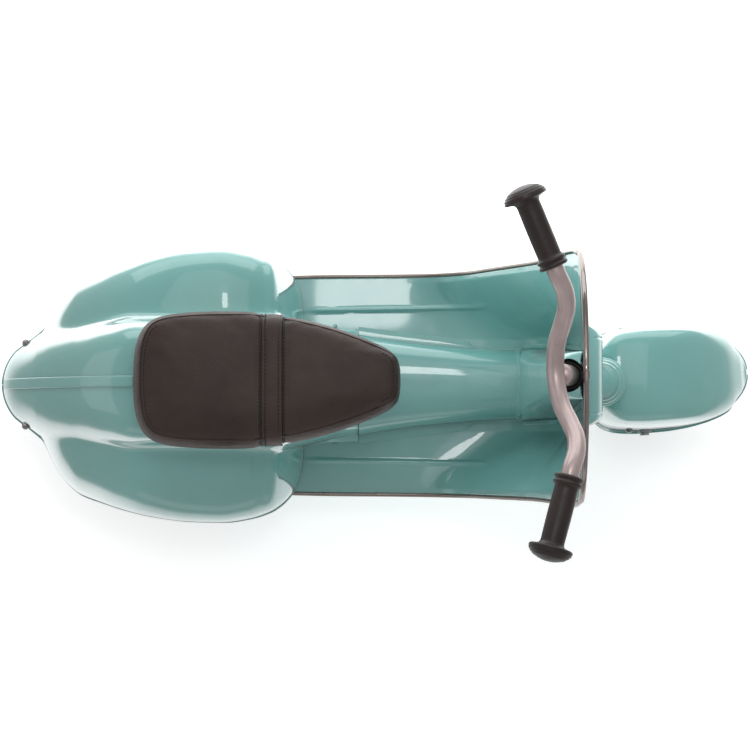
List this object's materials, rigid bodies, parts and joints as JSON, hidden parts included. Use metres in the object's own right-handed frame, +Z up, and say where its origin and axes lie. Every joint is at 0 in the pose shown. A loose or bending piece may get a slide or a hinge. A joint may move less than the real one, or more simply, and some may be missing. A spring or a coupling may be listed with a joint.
{
  "type": "ride-on scooter",
  "caption": "Child's foot-to-floor ride-on scooter in pressed steel: flared rear cowls, footboard with leg shield, turning handlebar and front mudguard, cushioned seat.",
  "frame": {"origin": "on the ground under the middle of the bounding box", "axes": "+X forward (towards the front mudguard), +Y to the rider's left, +Z up"},
  "size_m": [0.7654, 0.3283, 0.4883],
  "materials": {
    "paint_mint": "gloss enamel",
    "chrome": "bright plated",
    "silver_paint": "silver, satin",
    "steel": "zinc plated",
    "frame_black": "semi-gloss black",
    "vinyl": "grained dark brown vinyl",
    "rubber": "matte",
    "tyre": "matte",
    "nylon": "natural nylon"
  },
  "bodies": {
    "chassis": {"chassis_frame": "frame_black", "head_tube": "frame_black", "head_bush_upper": "nylon", "head_bush_lower": "nylon", "steering_grommet": "rubber", "floorboard_legshield": "paint_mint", "body_shell_left": "paint_mint", "body_shell_right": "paint_mint", "tail_seam_strip": "paint_mint", "tunnel_cover": "paint_mint", "column_cover": "paint_mint", "nose_casing": "paint_mint", "trim_left": "chrome", "trim_right": "chrome", "trim_joint_clip": "chrome", "trim_rivet_left": "chrome", "trim_rivet_right": "chrome", "seat_pan": "frame_black", "seat_cushion": "vinyl", "seat_strap": "vinyl", "seat_bolt_front": "steel", "seat_bolt_rear": "steel", "rear_axle": "steel", "rear_axle_bracket_left": "frame_black", "rear_axle_bracket_right": "frame_black", "rear_axle_spacer_left": "steel", "rear_axle_spacer_right": "steel", "rear_axle_nut_left": "chrome", "rear_axle_nut_right": "chrome", "tail_bolt_left": "chrome", "tail_bolt_right": "chrome", "tunnel_screw_left": "steel", "tunnel_screw_right": "steel", "nose_screw_left": "steel", "nose_screw_right": "steel", "floor_bolt_left": "steel", "floor_bolt_right": "steel"},
    "steering": {"fork": "silver_paint", "stem_cap": "silver_paint", "handlebar": "silver_paint", "grip_left": "rubber", "grip_right": "rubber", "mudguard": "paint_mint", "mudguard_collar": "paint_mint", "mudguard_bolt_left": "chrome", "mudguard_bolt_right": "chrome", "front_axle": "steel", "front_axle_spacer_left": "steel", "front_axle_spacer_right": "steel", "front_axle_nut_left": "chrome", "front_axle_nut_right": "chrome"},
    "front_wheel": {"front_tyre": "tyre", "front_wheel_disc": "silver_paint", "front_hub_bush": "nylon"},
    "rear_wheel_left": {"rear_tyre_left": "tyre", "rear_wheel_disc_left": "silver_paint", "rear_hub_bush_left": "nylon"},
    "rear_wheel_right": {"rear_tyre_right": "tyre", "rear_wheel_disc_right": "silver_paint", "rear_hub_bush_right": "nylon"}
  },
  "joints": [
    {"name": "steering_turn", "type": "hinge", "parent": "chassis", "child": "steering", "pos_m": [0.173, 0, 0.372], "axis": [-0.2756, 0, 0.9613], "range_deg": [-34, 26]},
    {"name": "front_wheel_spin", "type": "hinge", "parent": "steering", "child": "front_wheel", "pos_m": [0.27796, 0.00133, 0.07499], "axis": [-0.0671, 0.9976, -0.0192], "continuous": true},
    {"name": "rear_wheel_left_spin", "type": "hinge", "parent": "chassis", "child": "rear_wheel_left", "pos_m": [-0.215, 0.088, 0.075], "axis": [0, 1, 0], "continuous": true},
    {"name": "rear_wheel_right_spin", "type": "hinge", "parent": "chassis", "child": "rear_wheel_right", "pos_m": [-0.215, -0.088, 0.075], "axis": [0, 1, 0], "continuous": true}
  ]
}
